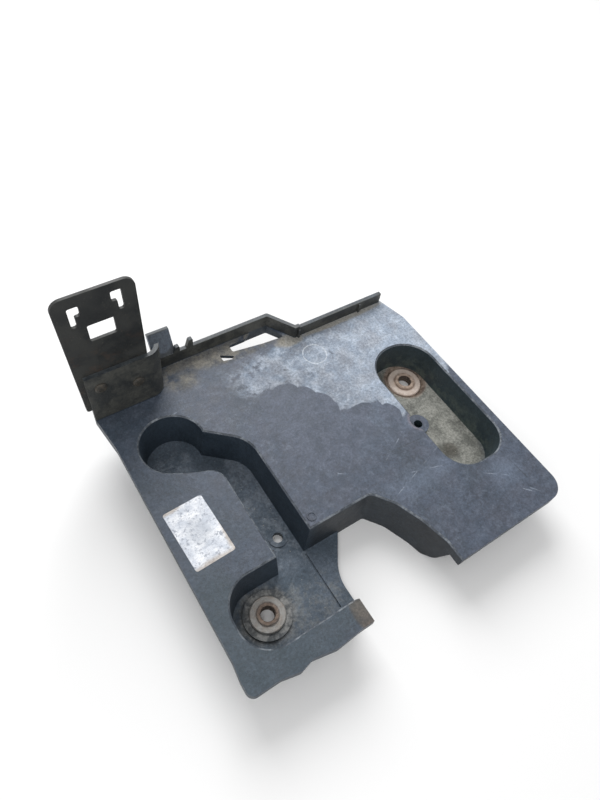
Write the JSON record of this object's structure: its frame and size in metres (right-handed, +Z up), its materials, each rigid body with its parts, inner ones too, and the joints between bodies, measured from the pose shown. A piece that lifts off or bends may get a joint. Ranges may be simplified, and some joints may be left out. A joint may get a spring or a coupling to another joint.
{
  "type": "car battery tray",
  "caption": "Moulded car battery tray with drafted pockets, steel bolt bushes and an upright pierced steel bracket.",
  "frame": {"origin": "on the front bush's bore axis, at the plane that the tray rests on", "axes": "+X to the right along the tray's length, +Y to the rear wall, +Z up along the bolt bores"},
  "size_m": [0.2562, 0.2367, 0.1434],
  "materials": {
    "tray_plastic": "weathered moulded plastic with chalky tide marks",
    "bush_steel": "plated steel, dull and rusting at the collar",
    "bracket_steel": "dark painted sheet steel, dusty",
    "label_film": "blank paper label, mottled and browned",
    "rivet_steel": "dull rusted steel"
  },
  "bodies": {
    "root": {"tray": "tray_plastic", "front_bush": "bush_steel", "rear_bush": "bush_steel", "bracket": "bracket_steel", "label": "label_film", "left_rivet": "rivet_steel", "right_rivet": "rivet_steel"}
  },
  "joints": []
}
